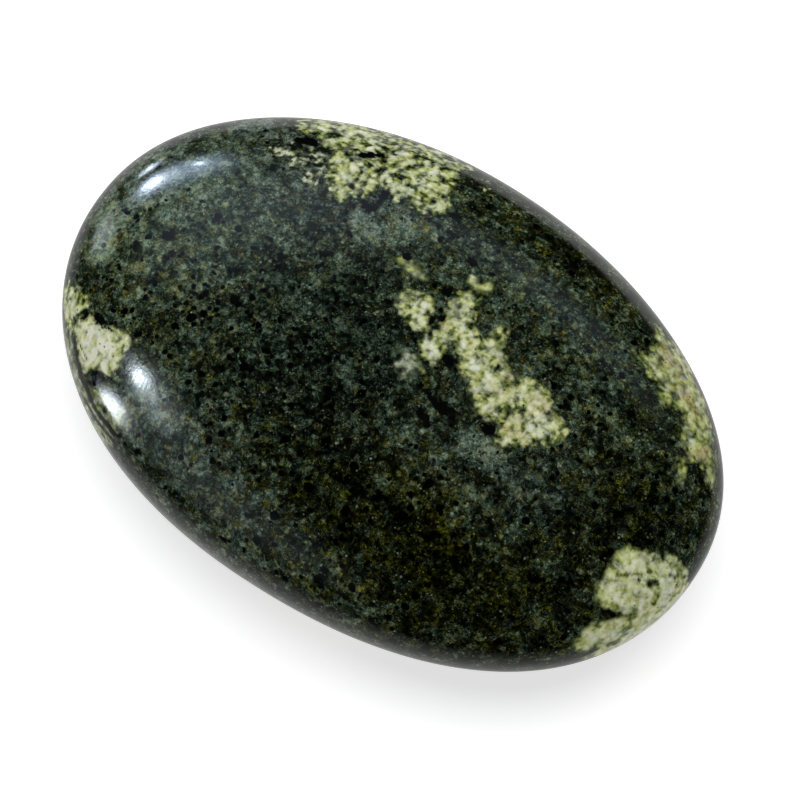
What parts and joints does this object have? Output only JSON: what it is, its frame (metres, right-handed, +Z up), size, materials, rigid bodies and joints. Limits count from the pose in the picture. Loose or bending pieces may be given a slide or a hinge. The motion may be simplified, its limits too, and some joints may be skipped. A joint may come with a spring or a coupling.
{
  "type": "serpentine rock",
  "caption": "Polished oval palm stone of dark green serpentine with pale mottled patches, resting on a small flat spot underneath",
  "frame": {"origin": "middle of the small flat spot that the stone rests on", "axes": "+X along the stone's length, +Y across it, +Z up through its crown"},
  "size_m": [0.0699, 0.0476, 0.0205],
  "materials": {
    "polished_serpentine": "polished"
  },
  "bodies": {
    "root": {"serpentine_stone": "polished_serpentine"}
  },
  "joints": []
}
